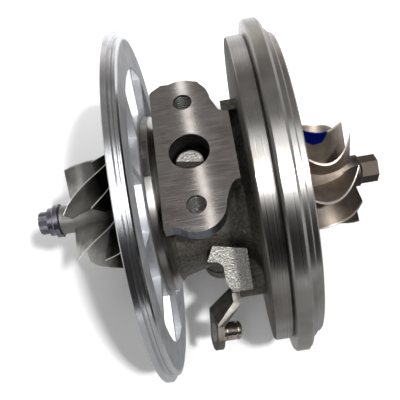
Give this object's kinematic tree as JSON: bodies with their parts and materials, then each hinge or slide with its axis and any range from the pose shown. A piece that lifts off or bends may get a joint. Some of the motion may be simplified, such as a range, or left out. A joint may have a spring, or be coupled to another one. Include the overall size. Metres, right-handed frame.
{
  "type": "turbocharger cartridge",
  "caption": "Turbocharger centre housing with its rotor: bladed compressor and turbine wheels on one shaft, a round backplate, an oil inlet pad and a swinging nozzle lever.",
  "frame": {"origin": "on the rotor axis, in the plane where the turbine housing seats on the flange", "axes": "+X along the rotor from compressor to turbine, +Z out of the oil inlet pad"},
  "size_m": [0.1321, 0.1338, 0.1338],
  "materials": {
    "cast_iron": "sand cast, machined on its pad and flange",
    "turned_aluminium": "bright turned",
    "black_steel": "black oxide",
    "seal_rubber": "matte",
    "bronze": "machined bronze",
    "spring_steel": "ground",
    "shield_steel": "pressed stainless sheet",
    "shaft_steel": "ground",
    "wheel_aluminium": "cast, machined on its blade tips",
    "wheel_alloy": "cast nickel alloy",
    "nut_steel": "dark steel",
    "lever_steel": "stamped",
    "pin_steel": "turned"
  },
  "bodies": {
    "housing": {"bearing_housing": "cast_iron", "compressor_backplate": "turned_aluminium", "backplate_bolts": "black_steel", "backplate_seal_ring": "seal_rubber", "thrust_bearing": "bronze", "bush_retaining_rings": "spring_steel", "piston_ring_compressor": "spring_steel", "piston_ring_turbine": "spring_steel", "heat_shield": "shield_steel", "lever_bush": "bronze"},
    "rotor": {"rotor_shaft": "shaft_steel", "thrust_collar": "shaft_steel", "seal_sleeve": "shaft_steel", "compressor_wheel": "wheel_aluminium", "compressor_nut": "nut_steel", "turbine_wheel": "wheel_alloy"},
    "bush_compressor": {"journal_bush_compressor": "bronze"},
    "bush_turbine": {"journal_bush_turbine": "bronze"},
    "lever": {"lever_shaft": "lever_steel", "actuating_lever": "lever_steel", "lever_pin": "pin_steel", "nozzle_crank": "lever_steel"}
  },
  "joints": [
    {"name": "rotor_spin", "type": "hinge", "parent": "housing", "child": "rotor", "pos_m": [0, 0, 0], "axis": [1, 0, 0], "continuous": true},
    {"name": "bush_compressor_spin", "type": "hinge", "parent": "housing", "child": "bush_compressor", "pos_m": [0, 0, 0], "axis": [1, 0, 0], "continuous": true},
    {"name": "bush_turbine_spin", "type": "hinge", "parent": "housing", "child": "bush_turbine", "pos_m": [0, 0, 0], "axis": [1, 0, 0], "continuous": true},
    {"name": "lever_swing", "type": "hinge", "parent": "housing", "child": "lever", "pos_m": [0, -0.03161, -0.01407], "axis": [1, 0, 0], "range_deg": [-15, 40]}
  ]
}
